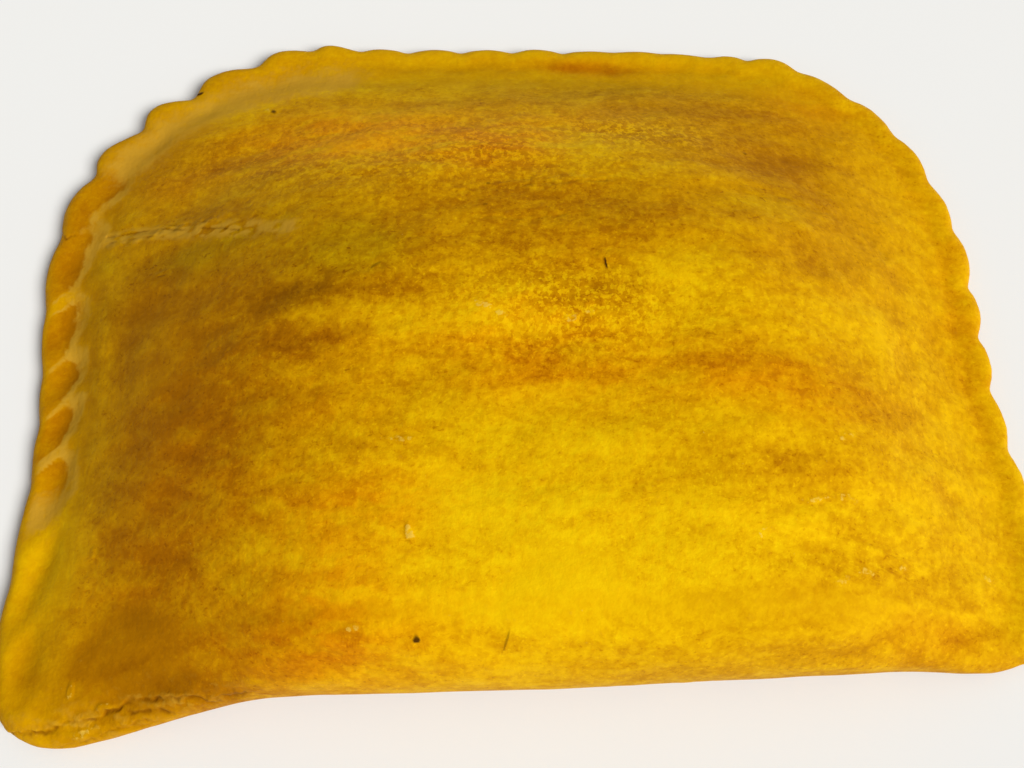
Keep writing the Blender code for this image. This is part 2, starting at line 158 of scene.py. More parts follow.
# Chips of dry dough on the crust, and four painted highlights: middle, half length, half width, turn in
# degrees, height
CHIPS_AND_HIGHLIGHTS = [
    (-14.9, -32.6, 0.45, 1.1, 12.0, 0.12), (-22.2, -44.5, 1.1, 0.4, 5.0, 0.10),
    (44.3, -18.6, 1.3, 0.6, 15.0, 0.08), (66.1, -35.8, 1.1, 0.4, -15.0, 0.10),
    (-57.7, -53.4, 1.2, 0.5, 12.0, 0.18), (-62.8, -51.2, 0.5, 1.1, -8.0, 0.14),
    (-61.1, -56.7, 1.7, 0.5, 18.0, 0.14), (-61.5, -32.4, 0.4, 0.8, 0.0, 0.08),
    # The next four, at the middle of the lid, are pale spots that paint highlights
    (-5.6, -1.0, 1.7, 0.8, -25.0, 0.10), (-3.0, -2.2, 0.9, 0.7, 0.0, 0.08),
    (6.6, -2.8, 1.1, 0.6, 20.0, 0.10), (9.2, -1.8, 0.7, 0.5, 0.0, 0.08), (-55.4, 10.4, 1.5, 0.3, 8.0, 0.08),
    (-42.6, 42.4, 0.6, 0.4, 0.0, 0.12), (39.0, -27.8, 1.5, 0.5, 18.0, 0.08),
    (43.4, -27.3, 1.6, 0.5, 8.0, 0.08), (42.0, -38.2, 1.3, 0.6, 20.0, 0.08),
    (45.6, -36.9, 1.4, 0.5, -10.0, 0.08), (31.2, -32.4, 1.1, 0.5, 30.0, 0.07),
    (51.4, -35.6, 1.0, 0.6, 60.0, 0.08), (-16.4, -20.2, 1.8, 0.5, -4.0, 0.08),
]
# Specks of charred spice: middle, half length, half width, turn in degrees, how dark
SPECKS = [
    (-13.9, -45.7, 0.42, 0.40, 0.0, 1.0), (11.7, 5.9, 0.16, 0.85, 6.0, 1.0),
    (-41.6, 42.0, 0.48, 0.42, 0.0, 0.9), (-55.4, 48.2, 0.75, 0.30, 10.0, 1.0),
    (-2.3, -45.9, 0.16, 1.4, -22.0, 0.5), (-5.1, 20.7, 0.3, 0.25, 0.0, 0.6),
    (-5.4, 16.5, 0.35, 0.22, 0.0, 0.5), (-20.9, 5.6, 0.9, 0.2, 38.0, 0.45),
    (35.4, 30.4, 0.3, 0.25, 0.0, 0.5),
]
SPECK_HEIGHT = 0.12
CHIP_SOFTNESS = 0.45
SPECK_SOFTNESS = 0.3
SPOT_WANDER = 0.35
BASE_UNEVEN = 0.12
BASE_REACH = (9.0, 9.0)
SIDE_RELIEF = 0.08
SIDE_REACH = (7.0, 0.9)

# The mesh is evened out where its rings meet and at the skewed corner of the ear, then made finer near the
# cracks and specks
RING_LEVELLING = 14
RING_START = 7.2
RING_END = 9.6
PLAIN_LEVELLING = 80
# Where the smooth crust is evened: in from the edge, toward the right and behind the fold
EDGE_RUN = (3.0, 6.5)
PLAIN_RUN = (-19.0, -12.0)
PLAIN_RIGHT = (-25.0, 10.0)
PLAIN_FRONT = (FOLD_LINE, -20.0)
EAR_LEVELLING = [(-52.0, -47.5, 11.0, 5.0), (-63.0, -40.0, 6.0, 8.0)]
FINER_REACHES = (1.7, 1.1)
FINER_STEEPNESS = 0.3
FAR_OFF = 1e9

mesh = crust.data


def crust_points():
    """Places in millimetres, outward directions and edges of the crust's points."""
    places = np.empty(len(mesh.vertices) * 3)
    normals = np.empty(len(mesh.vertices) * 3)
    ends = np.empty(len(mesh.edges) * 2, int)
    mesh.vertices.foreach_get("co", places)
    mesh.vertices.foreach_get("normal", normals)
    mesh.edges.foreach_get("vertices", ends)
    return places.reshape(-1, 3) / MM, normals.reshape(-1, 3), ends.reshape(-1, 2)


def rise(values, low, high):
    """Smooth step from 0 at low to 1 at high."""
    share = np.clip((values - low) / (high - low), 0.0, 1.0)
    return share * share * (3.0 - 2.0 * share)


def levelled(values, times):
    """Values of the crust's points, evened out with their neighbours'."""
    count = len(values)
    first, second = ends.T
    neighbours = np.bincount(ends.ravel(), minlength=count)
    for _ in range(times):
        sums = np.bincount(first, values[second], count) + np.bincount(second, values[first], count)
        values = sums / neighbours
    return values


def edge_distance():
    """Distance in from the outline of every point, and the way out at the nearest point of the outline."""
    steep = np.flatnonzero(np.abs(normals[:, 2]) < OUTLINE_STEEPNESS)
    tree = kdtree.KDTree(len(steep))
    for index in steep:
        tree.insert((*places[index, :2], 0.0), index)
    tree.balance()
    found = [tree.find((*place, 0.0)) for place in places[:, :2]]
    outward = normals[[index for _, index, _ in found], :2]
    return np.array([distance for _, _, distance in found]), outward


def along_route(route, px, py):
    """Distance of points from a route, and their signed distance, positive on its left."""
    nearest = np.full(len(px), FAR_OFF)
    signed = np.zeros(len(px))
    for (ax, ay), (bx, by) in zip(route, route[1:]):
        dx, dy = bx - ax, by - ay
        share = np.clip(((px - ax) * dx + (py - ay) * dy) / (dx * dx + dy * dy), 0.0, 1.0)
        distance = np.hypot(px - ax - share * dx, py - ay - share * dy)
        side = np.sign((py - ay) * dx - (px - ax) * dy)
        closer = distance < nearest
        signed[closer] = (distance * side)[closer]
        nearest[closer] = distance[closer]
    return nearest, signed


def soft_oval(px, py, middle_x, middle_y, reach_x, reach_y):
    """Soft oval patch round a middle, where it is 1."""
    return np.exp(-(((px - middle_x) / reach_x) ** 2) - ((py - middle_y) / reach_y) ** 2)


def even_out(share, times):
    """Moves the crust's points by a share of the way to where their neighbours would level them."""
    for axis in range(3):
        places[:, axis] += share * (levelled(places[:, axis], times) - places[:, axis])


places, normals, ends = crust_points()
from_edge, outward = edge_distance()
upward = rise(normals[:, 2], SIDE_START, SIDE_END)
clear_of_edge = rise(from_edge, *EDGE_RUN)
even_out(rise(from_edge, RING_START, RING_END) * upward, RING_LEVELLING)
plain = clear_of_edge * rise(-from_edge, *PLAIN_RUN) * upward
plain *= rise(places[:, 0] + 0.5 * places[:, 1], *PLAIN_RIGHT) * rise(places[:, 1], *PLAIN_FRONT)
for oval in EAR_LEVELLING:
    plain = np.maximum(plain, soft_oval(places[:, 0], places[:, 1], *oval) * clear_of_edge * upward)
even_out(plain, PLAIN_LEVELLING)
mesh.vertices.foreach_set("co", (places * MM).ravel())
mesh.update()

for reach in FINER_REACHES:
    centres = np.empty(len(mesh.polygons) * 3)
    facing = np.empty(len(mesh.polygons) * 3)
    mesh.polygons.foreach_get("center", centres)
    mesh.polygons.foreach_get("normal", facing)
    centre_x, centre_y, _ = (centres.reshape(-1, 3) / MM).T
    near = np.full(len(mesh.polygons), FAR_OFF)
    for route, half_width, *_ in CRACKS:
        if half_width < FINER_REACHES[1]:
            near = np.minimum(near, along_route(route, centre_x, centre_y)[0])
    for speck in SPECKS + CHIPS_AND_HIGHLIGHTS:
        near = np.minimum(near, np.hypot(centre_x - speck[0], centre_y - speck[1]))
    chosen = (near < reach) & (facing.reshape(-1, 3)[:, 2] > FINER_STEEPNESS)
    mesh.polygons.foreach_set("select", chosen)
    bpy.ops.object.mode_set(mode="EDIT")
    bpy.ops.mesh.select_mode(type="FACE")
    bpy.ops.mesh.subdivide(number_cuts=1)
    bpy.ops.mesh.select_all(action="DESELECT")
    bpy.ops.object.mode_set(mode="OBJECT")

places, normals, ends = crust_points()
count = len(places)
x, y, z = places.T
from_edge, outward = edge_distance()


def dough_noise(along, across, seed):
    """Smooth noise round 0 at every point of the crust, with a reach along the fold and one across it."""
    return np.array([
        noise.noise(Vector((a / along, b / across, c / across + seed))) for a, b, c in zip(x, y, z)
    ])


lid = rise(normals[:, 2], SIDE_START, SIDE_END)
under = rise(-normals[:, 2], SIDE_START, SIDE_END)
side = 1.0 - lid - under
at_fold = rise(-y, -FOLD_LINE, FOLD_LINE_RUN - FOLD_LINE) * rise(x, FOLD_LEFT, FOLD_LEFT + FOLD_END_RUN)
at_fold *= rise(-x, -FOLD_RIGHT, FOLD_END_RUN - FOLD_RIGHT)
rim = rise(-from_edge, -RIM_WIDTH - RIM_RUN, -RIM_WIDTH) * (1.0 - at_fold) * lid
rim *= 1.0 - RIM_FADE * rise(x, *RIM_FADE_RUN)

lid_layers = sum(height * dough_noise(along, across, across) for along, across, height in LID_RELIEF)
rim_layers = sum(height * dough_noise(along, across, across + 7.0) for along, across, height in RIM_RELIEF)
scale_noise = dough_noise(*SCALE_REACH, 3.0) + 0.25 * dough_noise(4.0, 1.6, 5.0)
scales = sum(rise(scale_noise, level - SCALE_SOFTNESS, level + SCALE_SOFTNESS) for level in SCALE_LEVELS)
blistered = np.zeros(count)
for oval in BLISTERED:
    blistered = np.maximum(blistered, soft_oval(x, y, *oval))
cells = np.array([noise.voronoi(Vector((a, b, 0.0)) / BLISTER_WIDTH)[0][0] for a, b in zip(x, y)])
blisters = rise(-cells, *BLISTER_SLOPE) * rise(dough_noise(*BLISTER_GROUPS, 9.0), -0.15, 0.25)

lift = lid * (1.0 - rim) * (lid_layers + SCALE_THICKNESS * scales + BLISTER_HEIGHT * blistered * blisters)
lift += rim * rim_layers
flaky = np.zeros(count)
for oval in FLAKY:
    flaky = np.maximum(flaky, soft_oval(x, y, *oval) * lid)
flake_noise = dough_noise(*FLAKE_REACH, 51.0) + 0.3 * dough_noise(0.9, 0.7, 53.0)
flakes = sum(rise(flake_noise, level - FLAKE_SOFTNESS, level + FLAKE_SOFTNESS) for level in FLAKE_LEVELS)
lift += FLAKE_THICKNESS * flaky * flakes
lift += side * SIDE_RELIEF * dough_noise(*SIDE_REACH, 2.0)

wander_x = CRACK_WANDER * dough_noise(CRACK_WANDER_REACH, CRACK_WANDER_REACH, 21.0)
wander_y = CRACK_WANDER * dough_noise(CRACK_WANDER_REACH, CRACK_WANDER_REACH, 27.0)
wander_y += 0.35 * CRACK_WANDER * dough_noise(0.9, 0.9, 28.0)
broken = rise(dough_noise(1.8, 1.6, 33.0), -0.25, 0.2)
cracked = np.zeros(count)
ledges = np.zeros(count)
for route, half_width, depth, ledge, reach, loose in CRACKS:
    distance, signed = along_route(route, x + loose * wander_x, y + loose * wander_y)
    groove = np.exp(-((distance / half_width) ** 2)) * lid * (0.25 + 0.75 * broken)
    raised = rise(signed, 0.0, half_width) * np.exp(-np.maximum(signed, 0.0) / reach) * lid
    raised *= rise(-distance, -3.0 * reach, -reach)
    lift += ledge * raised - depth * groove
    cracked = np.maximum(cracked, groove * min(1.0, depth / FULL_CRACK))
    ledges = np.maximum(ledges, raised * min(1.0, ledge / FULL_CRACK))


def spots(rows, soft):
    """Soft oval spots on the crust, each with its own height or strength as the last of its numbers."""
    total = np.zeros(count)
    for middle_x, middle_y, half_length, half_width, turn, amount in rows:
        cosine, sine = math.cos(math.radians(turn)), math.sin(math.radians(turn))
        off_x, off_y = x + SPOT_WANDER * wander_x - middle_x, y + SPOT_WANDER * wander_y - middle_y
        u = (off_x * cosine + off_y * sine) / half_length
        v = (off_y * cosine - off_x * sine) / half_width
        total = np.maximum(total, amount * rise(-np.hypot(u, v), -1.0 - soft, -1.0 + soft) * lid)
    return total


chips_and_highlights = spots(CHIPS_AND_HIGHLIGHTS, CHIP_SOFTNESS)
charred = spots(SPECKS, SPECK_SOFTNESS)
lift += chips_and_highlights + SPECK_HEIGHT * charred
lift -= under * BASE_UNEVEN * (0.5 + dough_noise(*BASE_REACH, 31.0))

moved = places + normals * lift[:, None]

# The bake: where the crust has gone brown, stayed pale or kept flour. The hollows of the crimp are orange and
# a little browner, the leaning ridges between them and the inner lip are dry and buff, the hollows of the
# relief get painted shade, and the left part and its rim are darker, partly brown from the bake and partly
# painted shade of the light from the right. Each is kept as a value at the crust's points.
# Browner, paler and painted-shade places of the lid: middle, reach along and across the fold, how much
BROWNED_AND_SHADED = [
    # The first, broad patch over the left part is partly brown from the bake and partly painted shade of the
    # light from the right
    (-48.0, -8.0, 18.0, 40.0, 0.36), (-55.0, -48.5, 12.0, 8.0, 0.19), (-42.0, -18.0, 7.0, 16.0, 0.09),
    (-38.0, -42.0, 10.0, 6.0, 0.04), (12.0, -48.0, 60.0, 5.0, 0.08), (25.0, 40.0, 45.0, 11.0, 0.14),
    (-15.0, 20.0, 36.0, 8.0, 0.08), (-56.0, 31.0, 13.0, 6.0, 0.14), (-31.0, 1.7, 10.0, 2.5, 0.38),
    (-31.0, -5.8, 8.0, 2.6, 0.30), (0.0, 17.5, 42.0, 6.0, 0.20), (19.0, 13.0, 9.0, 4.0, 0.16),
    (-34.0, 35.0, 9.0, 4.0, 0.06), (29.7, -8.9, 10.0, 3.2, 0.26), (44.7, -22.4, 9.0, 2.2, 0.12),
    (32.0, -23.4, 9.0, 2.8, 0.18), (2.0, -9.6, 14.0, 4.0, 0.22), (8.0, 3.0, 9.0, 6.0, 0.24),
    # The first patch here, at the middle, is paler to paint the highlight there
    (-5.0, -1.5, 10.0, 4.0, -0.14), (-2.0, -33.0, 18.0, 14.0, -0.15), (18.0, -36.0, 19.0, 8.0, -0.16),
    (62.0, -17.0, 8.0, 7.0, -0.08), (8.0, 29.5, 9.0, 4.0, -0.20), (8.0, 53.6, 3.0, 1.3, 0.20),
    (15.6, 52.6, 3.0, 1.3, 0.20), (-50.5, -13.8, 8.0, 5.0, 0.06), (-47.0, -36.0, 9.0, 5.0, 0.12),
    (-11.0, 8.0, 22.0, 6.0, 0.22), (41.0, 28.0, 12.0, 9.0, 0.33), (42.0, 9.0, 14.0, 5.0, 0.24),
    (-27.0, 31.0, 13.0, 3.5, -0.26), (-47.0, 22.0, 8.0, 4.0, -0.12), (-2.0, 28.0, 8.0, 4.0, 0.22),
    (22.0, 31.0, 12.0, 6.0, 0.14), (-69.0, -33.0, 7.0, 12.0, -0.22), (47.0, -12.0, 10.0, 6.0, 0.26),
    (20.0, -7.5, 6.0, 3.0, -0.12), (28.0, -47.5, 26.0, 2.6, 0.10), (-6.0, -40.0, 12.0, 5.0, -0.10),
    (1.0, -15.0, 12.0, 3.5, -0.12), (-4.0, 17.6, 11.0, 4.0, 0.06), (-22.0, -2.2, 6.0, 1.4, -0.08),
    (-60.0, 5.0, 7.0, 8.0, 0.15), (-17.0, -14.0, 8.0, 4.0, 0.14), (-57.0, -28.0, 7.0, 7.0, 0.08),
    (-28.0, -36.0, 7.0, 8.0, -0.10), (36.0, -41.0, 14.0, 4.0, 0.14), (-42.0, -51.6, 9.0, 2.6, 0.26),
    (33.0, 1.0, 8.0, 4.0, 0.12), (52.0, 19.0, 9.0, 7.0, 0.12), (-28.0, -46.5, 8.0, 4.0, 0.22),
    (-51.0, 43.0, 7.0, 3.0, -0.26), (31.0, 41.5, 13.0, 4.0, 0.14), (-46.0, 12.0, 7.0, 4.0, -0.10),
    (-44.0, -10.0, 6.0, 8.0, -0.05), (-31.0, 18.0, 7.0, 2.5, -0.14), (22.0, 4.0, 7.0, 7.0, -0.10),
    (-22.0, -28.0, 9.0, 5.0, 0.11), (-5.0, -28.6, 8.0, 3.5, -0.17), (25.0, -30.0, 10.0, 4.0, -0.09),
    (-29.0, -15.0, 6.0, 3.0, 0.10), (58.0, -46.0, 6.0, 3.0, 0.08), (7.0, -22.0, 8.0, 3.0, -0.10),
    (-16.0, 1.0, 6.0, 3.0, 0.20), (-6.0, 53.0, 30.0, 3.5, 0.08), (65.0, 0.0, 7.0, 10.0, 0.07),
    (44.0, -35.0, 7.0, 3.0, 0.10), (36.0, 19.0, 6.0, 3.0, -0.10),
]
# Places that stayed greenish yellow, and places that turned orange, in the same way
OLIVE = [
    (-25.0, 7.0, 8.0, 3.0, 0.9), (-24.0, 10.5, 9.0, 3.0, 0.9), (-30.0, 14.5, 12.0, 3.5, 0.9),
    (-55.0, 13.0, 10.0, 4.0, 0.5), (0.0, 48.0, 60.0, 7.0, 0.6), (-66.0, -30.0, 8.0, 12.0, 0.2),
    (-66.0, 5.0, 5.0, 18.0, 0.5), (-10.0, -19.0, 10.0, 5.0, 0.3), (-46.0, 12.0, 10.0, 4.0, 0.8),
    (-41.0, -50.0, 8.0, 4.0, 0.2), (-31.0, 1.0, 8.0, 4.0, 0.5), (36.0, 20.0, 8.0, 4.0, 0.7),
]
ORANGE = [
    (-52.0, 27.0, 12.0, 4.0, 0.4), (-32.0, 35.0, 15.0, 6.0, 1.0), (-14.0, 32.0, 16.0, 8.0, 0.9),
    (29.0, -10.0, 12.0, 4.0, 0.6), (45.0, -24.0, 10.0, 2.5, 0.1), (-29.0, -6.0, 9.0, 4.0, 0.4),
    (11.7, 53.0, 9.0, 1.8, 0.9), (-30.0, -47.0, 25.0, 6.0, 0.5), (5.0, -12.0, 14.0, 4.0, 0.5),
    (70.0, 8.0, 5.0, 20.0, 0.3), (-46.0, -22.0, 11.0, 18.0, 0.5), (48.0, 44.0, 10.0, 5.0, 0.5),
    (-3.0, 29.0, 8.0, 5.0, 0.7), (-28.0, -15.0, 8.0, 4.0, 0.4), (-28.0, -28.0, 9.0, 5.0, 0.45),
    (-28.0, -47.0, 9.0, 3.0, 0.5), (0.0, -5.0, 15.0, 6.0, 0.8), (40.0, -13.0, 12.0, 4.0, 0.5),
    (-32.0, 31.0, 9.0, 4.0, 0.5), (-58.0, -38.0, 10.0, 9.0, 0.4), (-17.0, -28.0, 8.0, 5.0, 0.6),
    (-26.0, -38.0, 9.0, 8.0, 0.8), (8.0, 36.0, 12.0, 5.0, 0.4), (57.0, -45.0, 9.0, 4.0, 0.4),
    (9.0, 8.0, 7.0, 3.0, 0.5),
]
# How strong the fine mottling is in places of the lid: middle, reach along and across, how much more or less
LIVELY = [
    (5.0, -2.0, 26.0, 12.0, 0.38), (-12.0, 28.0, 36.0, 9.0, 0.10), (50.0, 22.0, 24.0, 24.0, -0.16),
    (-54.0, -8.0, 14.0, 40.0, -0.26), (-58.0, -50.0, 24.0, 8.0, -0.10), (5.0, -32.0, 42.0, 14.0, 0.20),
    (-28.0, 10.0, 16.0, 5.0, -0.12),
]
LIVELY_ELSEWHERE = 0.58
BROWNED_ELSEWHERE = 0.38
# The crimp: the band that its hollows are read from, how far they lean, and the buff lip on their inner side
CRIMP_BAND = (3.9, 5.1)
CRIMP_MIDDLE = 4.5
CRIMP_LEAN = 0.75
CRIMP_WINDOW = 60
CRIMP_NEAREST = 4
PRESSED_DEPTHS = (-0.26, 0.02)
POCKET_REACH = (3.6, 6.6)
POCKET_LEVELLING = 3
POCKET_SOFTNESS = 0.9
LIP_OFF = 0.9
LIP_HALF_WIDTH = 1.15
LIP_WOBBLE = 1.0
LIP_HEIGHT = 0.06
# The buff band of floury dough round the far left corner, between its flutes and the lid
CORNER_BAND = [(-65.8, 33.0), (-61.4, 38.2), (-54.8, 43.0), (-46.5, 46.8), (-38.0, 48.8), (-30.5, 49.6)]
CORNER_BAND_HALF_WIDTH = 3.9
# Where the crease at the left has flaked
CREASE_FLAKES = [(-67.0, 18.9), (-60.7, 18.5), (-55.0, 17.8), (-47.6, 16.4), (-40.0, 14.8), (-34.0, 13.8)]
CREASE_FLAKES_HALF_WIDTH = 1.6
CREASE_FLAKE_REACH = (3.6, 0.8)
LEDGE_DRYNESS = 0.45
RECESS_SHADE_LEVELLING = 6
# Where the left part, the front and the far corner begin, and where each is full
LEFT_RUN = (18.0, 60.0)
FRONT_RUN = (-32.0, -20.0)
CORNER_RUN = (26.0, 36.0)


def patches(rows):
    """Sum of soft patches on the crust."""
    total = np.zeros(count)
    for *oval, amount in rows:
        total += amount * soft_oval(x, y, *oval)
    return total


def keep_value(name, values):
    """Stores a value at every point of the crust."""
    kept = mesh.attributes.new(name, "FLOAT", "POINT")
    kept.data.foreach_set("value", np.asarray(values, np.float32))


height = moved[:, 2]
left_part = rise(-x, *LEFT_RUN)
band = np.flatnonzero((from_edge > CRIMP_BAND[0]) & (from_edge < CRIMP_BAND[1]) & (lid > 0.5))
band = band[np.argsort(np.arctan2(y[band], x[band]))]
around = np.concatenate([band[-CRIMP_WINDOW:], band, band[:CRIMP_WINDOW]])
window = np.ones(2 * CRIMP_WINDOW + 1) / (2 * CRIMP_WINDOW + 1)
pressed = rise(np.convolve(height[around], window, "valid") - height[band], *PRESSED_DEPTHS)
band_tree = kdtree.KDTree(len(band))
for index, point in enumerate(band):
    band_tree.insert((x[point], y[point], 0.0), index)
band_tree.balance()
inward = CRIMP_MIDDLE - from_edge
lean = CRIMP_LEAN * left_part * inward
read_x = x - outward[:, 0] * inward + outward[:, 1] * lean
read_y = y - outward[:, 1] * inward - outward[:, 0] * lean
pocket = np.zeros(count)
for index in np.flatnonzero((from_edge < RIM_WIDTH + RIM_RUN) & (under < 0.5)):
    nearest = band_tree.find_n((read_x[index], read_y[index], 0.0), CRIMP_NEAREST)
    pocket[index] = sum(pressed[found] for _, found, _ in nearest) / CRIMP_NEAREST

front = rise(y, *FRONT_RUN)
wobble = LIP_WOBBLE * (dough_noise(5.0, 5.0, 41.0) + 0.6 * dough_noise(1.7, 1.7, 43.0))
patchy = rise(dough_noise(4.5, 4.5, 45.0) + 0.4 * dough_noise(1.6, 1.6, 47.0), -0.5, 0.2)
pocket = levelled(pocket, POCKET_LEVELLING)
past_pocket = from_edge + wobble - POCKET_REACH[0] - (POCKET_REACH[1] - POCKET_REACH[0]) * pocket
pocket = rise(-past_pocket, -POCKET_SOFTNESS, POCKET_SOFTNESS) * rise(pocket, 0.12, 0.42)
pocket *= rise(from_edge, 0.3, 1.5) * front * (1.0 - at_fold) * lid
lip = np.exp(-(((past_pocket - LIP_OFF) / LIP_HALF_WIDTH) ** 2)) * front * lid
rounds = 4.0 * pocket * (1.0 - pocket) * rise(from_edge, 0.6, 2.0)
corner = rise(y, *CORNER_RUN)
moved += normals * (LIP_HEIGHT * left_part * (1.0 - corner) * np.maximum(lip, rounds))[:, None]
moved[:, 2] = np.maximum(moved[:, 2], 0.0)
mesh.vertices.foreach_set("co", (moved * MM).ravel())
mesh.update()

band_distance = along_route(CORNER_BAND, x + wander_x, y + wander_y)[0]
corner_band = np.exp(-((band_distance / CORNER_BAND_HALF_WIDTH) ** 2)) * lid
crease_flakes = np.exp(-((along_route(CREASE_FLAKES, x, y)[0] / CREASE_FLAKES_HALF_WIDTH) ** 2)) * lid
dry = left_part * (1.0 - corner) * np.maximum(lip, rounds) * (0.6 + 0.4 * patchy)
dry = np.maximum(dry, corner_band * (0.8 + 0.3 * patchy))
dry = np.maximum(dry, LEDGE_DRYNESS * ledges)
dry = np.maximum(dry, crease_flakes * rise(dough_noise(*CREASE_FLAKE_REACH, 61.0), -0.4, 0.05))
dry = np.maximum(dry, LEDGE_DRYNESS * flaky * rise(flake_noise, 0.0, 0.12))
pocket *= (0.25 + 0.75 * left_part) * (1.0 - 0.8 * corner)
# Painted shade: the hollows of the relief are darkened, by how far each point lies below its neighbours
recess_shade = (levelled(height, RECESS_SHADE_LEVELLING) - height) * lid
lively = np.clip(LIVELY_ELSEWHERE + patches(LIVELY), 0.0, 1.0)
# The rim of the left part is made darker here: painted shade of the light falling from the right
keep_value("browned_and_shaded", BROWNED_ELSEWHERE + patches(BROWNED_AND_SHADED) + 0.14 * pocket + 0.12 * rim * left_part)
keep_value("olive", patches(OLIVE))
keep_value("orange", patches(ORANGE) * (1.0 - rim * left_part) + 0.18 * pocket)
keep_value("dry", np.clip(dry, 0.0, 1.0))
# Pale flour of the chips, and the painted highlights of the four spots at the middle
keep_value("floury_and_highlit", np.clip(7.0 * chips_and_highlights, 0.0, 1.0) * (1.0 - 0.45 * left_part))
keep_value("cracked", cracked)
keep_value("charred", charred)
keep_value("recess_shade", np.clip(0.5 + 2.5 * recess_shade, 0.0, 1.0))
keep_value("rim", rim)
keep_value("lively", lively * (1.0 - 0.5 * rim))
keep_value("blistered", blistered)
keep_value("under", under)

# The finish of the crust: yellow dough coloured with turmeric, baked to gold and ochre, clouded and mottled
# more along the fold than across it, with golden blisters and a little grease. It is duller on the dry rim.
CRUST_ROUGHNESS = 0.58
CRUST_SHEEN_TINT = (1.0, 0.62, 0.03, 1.0)
CRUST_SPECULAR = 0.06
BAKE_COLOURS = [
    (0.00, (0.84, 0.53, 0.0020)), (0.25, (0.76, 0.43, 0.0012)), (0.50, (0.61, 0.295, 0.0006)),
    (0.75, (0.43, 0.168, 0.0004)), (1.00, (0.29, 0.098, 0.0004)),
]
DRY_COLOUR = (0.60, 0.325, 0.026, 1.0)
# Pale colour of flour, also used for the painted highlights
FLOUR_AND_HIGHLIGHT_COLOUR = (0.82, 0.54, 0.07, 1.0)
# Painted shade inside the cracks
CRACK_SHADE_COLOUR = (0.17, 0.055, 0.002, 1.0)
CHAR_COLOUR = (0.045, 0.012, 0.002, 1.0)
OLIVE_TINT = (0.88, 1.0, 1.0, 1.0)
ORANGE_TINT = (1.05, 0.77, 1.0, 1.0)
UNDERSIDE_COLOURS = [
    (0.30, (0.50, 0.24, 0.012)), (0.62, (0.30, 0.10, 0.006)), (0.85, (0.15, 0.045, 0.004)),
]
# How much of each colour shows where it is fullest
DRY_SHARE = 0.82
FLOUR_AND_HIGHLIGHT_SHARE = 0.6
CRACK_SHADE_SHARE = 0.8
CHAR_SHARE = 0.95
# Noises of the finish: reach in millimetres along, across and up, seed, detail, roughness
WARP = ((5.0, 5.0, 5.0), 13.3, 3.0, 0.6)
CLOUDS = ((24.0, 12.0, 12.0), 3.1, 2.0, 0.5)
STREAKS = ((9.0, 3.4, 3.4), 11.7, 4.0, 0.6)
MOTTLE = ((2.6, 2.2, 2.2), 23.9, 2.0, 0.6)
GRAIN = ((0.7, 0.65, 0.65), 5.3, 2.0, 0.6)
UPRIGHT_GRAIN = ((0.6, 2.0, 2.0), 67.7, 1.0, 0.5)
SPECKLE = ((1.3, 1.2, 1.2), 93.1, 2.0, 0.6)
DASHES = ((2.2, 0.7, 0.7), 41.3, 2.0, 0.6)
BLOBS = ((0.8, 0.95, 0.95), 57.1, 2.0, 0.6)
FLECKS = ((0.6, 0.55, 0.55), 131.7, 1.0, 0.5)
TRAY_MOTTLE = ((7.0, 6.0, 6.0), 71.0, 4.0, 0.65)
RIDGES = ((3.0, 0.9, 0.9), 83.0, 3.0, 0.6)
# How far the clouds and the grain are pulled about, so that their edges branch
WARP_PULL = 3.2
GRAIN_PULL = 0.5
# How much browner each noise makes the crust. A pair of strengths is for plain and blistered crust, for plain
# and olive crust, or for dull and lively crust. It changes between the levels that the first two pairs give.
WEAK_TO_STRONG = (0.1, 0.9)
DULL_TO_LIVELY = (0.25, 0.9)
CLOUD_STRENGTH = 0.26
STREAK_STRENGTH = (0.56, 0.28)
STREAK_EDGE_STRENGTH = 0.05
MOTTLE_STRENGTH = 0.26
MOTTLE_EDGE_STRENGTH = 0.06
GRAIN_STRENGTH = (0.42, 0.26)
UPRIGHT_STRENGTH = 0.16
DARK_SPECKLE_STRENGTH = 0.12
PALE_SPECKLE_STRENGTH = 0.10
UNEVEN_MEAN = 0.185
# How much painted shade darkens the hollows of the relief
RECESS_SHADE_STRENGTH = 0.28
DASH_STRENGTH = (0.15, 0.40)
BLOB_STRENGTH = -0.38
# Tiny pale flecks that are painted glints of light
GLINT_FLECK_STRENGTH = (-0.05, -0.20)
DARK_FLECK_STRENGTH = 0.15
# Levels of a noise between which the edge of its marks lies
STREAK_EDGE = (0.46, 0.51)
MOTTLE_EDGE = (0.47, 0.53)
DARK_SPECKLE = (0.50, 0.55)
PALE_SPECKLE = (0.38, 0.43)
DASH_EDGE = (0.61, 0.74)
DASH_STREAKS = (0.45, 0.62)
BLOB_EDGE = (0.50, 0.58)
GLINT_FLECK_EDGE = (0.65, 0.72)
DARK_FLECK = (0.27, 0.35)
TINT_EDGE = (0.3, 0.6)
CRACK_EDGE = (0.25, 0.5)
# Dry places, and the pale flour and painted highlights: how the speckle and the grain fray them, and where
# their edge lies
DRY_SPECKLE = 0.9
DRY_GRAIN = 0.5
DRY_EDGE = (0.12, 0.95)
FLOUR_AND_HIGHLIGHT_GRAIN = 2.2
FLOUR_AND_HIGHLIGHT_EDGE = (0.5, 0.9)
# What each noise adds to the roughness and to the finest relief, and how deep that relief is
MOTTLE_ROUGHNESS = 0.25
DRY_ROUGHNESS = 0.2
GRAIN_ROUGHNESS = 0.08
GRAIN_RELIEF = 0.7
SPECKLE_RELIEF = 0.6
UPRIGHT_RELIEF = 0.2
RIDGE_RELIEF = 0.15
DASH_RELIEF = -0.25
BUMP_DEPTH = 0.2 * MM
BUMP_STRENGTH = 0.55

